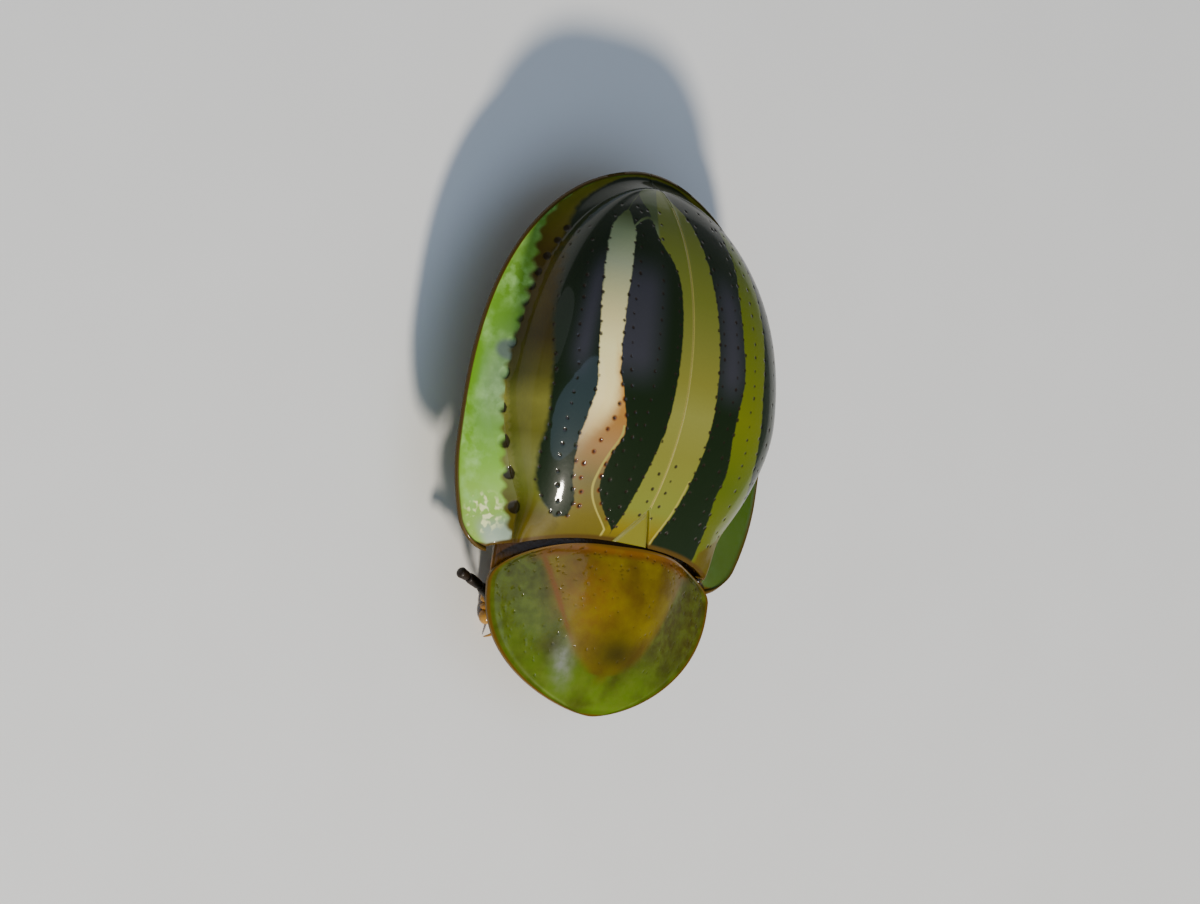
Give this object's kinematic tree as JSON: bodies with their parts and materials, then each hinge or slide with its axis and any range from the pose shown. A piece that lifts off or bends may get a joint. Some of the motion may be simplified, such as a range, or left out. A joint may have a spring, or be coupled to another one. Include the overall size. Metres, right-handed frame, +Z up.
{
  "type": "tortoise beetle model",
  "caption": "Striped tortoise beetle at life size, standing, with domed wing cases, wide flat rim, head shield over the head, short legs and beaded feelers.",
  "frame": {"origin": "on the floor below the middle of the model's box", "axes": "the beetle faces -Y, with its head turned slightly to its left, its left side is +X, +Z is up"},
  "size_m": [0.005, 0.007, 0.0026],
  "materials": {
    "elytra": "glossy black cuticle with yellow stripes and a clear greenish rim",
    "pronotum": "glossy amber cuticle with a clear olive rim",
    "body": "satin dark brown cuticle",
    "legs": "satin yellow-brown cuticle",
    "antennae": "satin yellow-brown cuticle darkening to a black club",
    "eyes": "glossy black, faceted"
  },
  "bodies": {
    "root": {"elytron_left": "elytra", "elytron_right": "elytra", "scutellum": "elytra", "pronotum": "pronotum", "prothorax": "body", "thorax": "body", "abdomen": "body", "head": "body", "eye_left": "eyes", "eye_right": "eyes", "antenna_left": "antennae", "antenna_right": "antennae", "leg_front_left": "legs", "leg_front_right": "legs", "leg_middle_left": "legs", "leg_middle_right": "legs", "leg_hind_left": "legs", "leg_hind_right": "legs"}
  },
  "joints": []
}
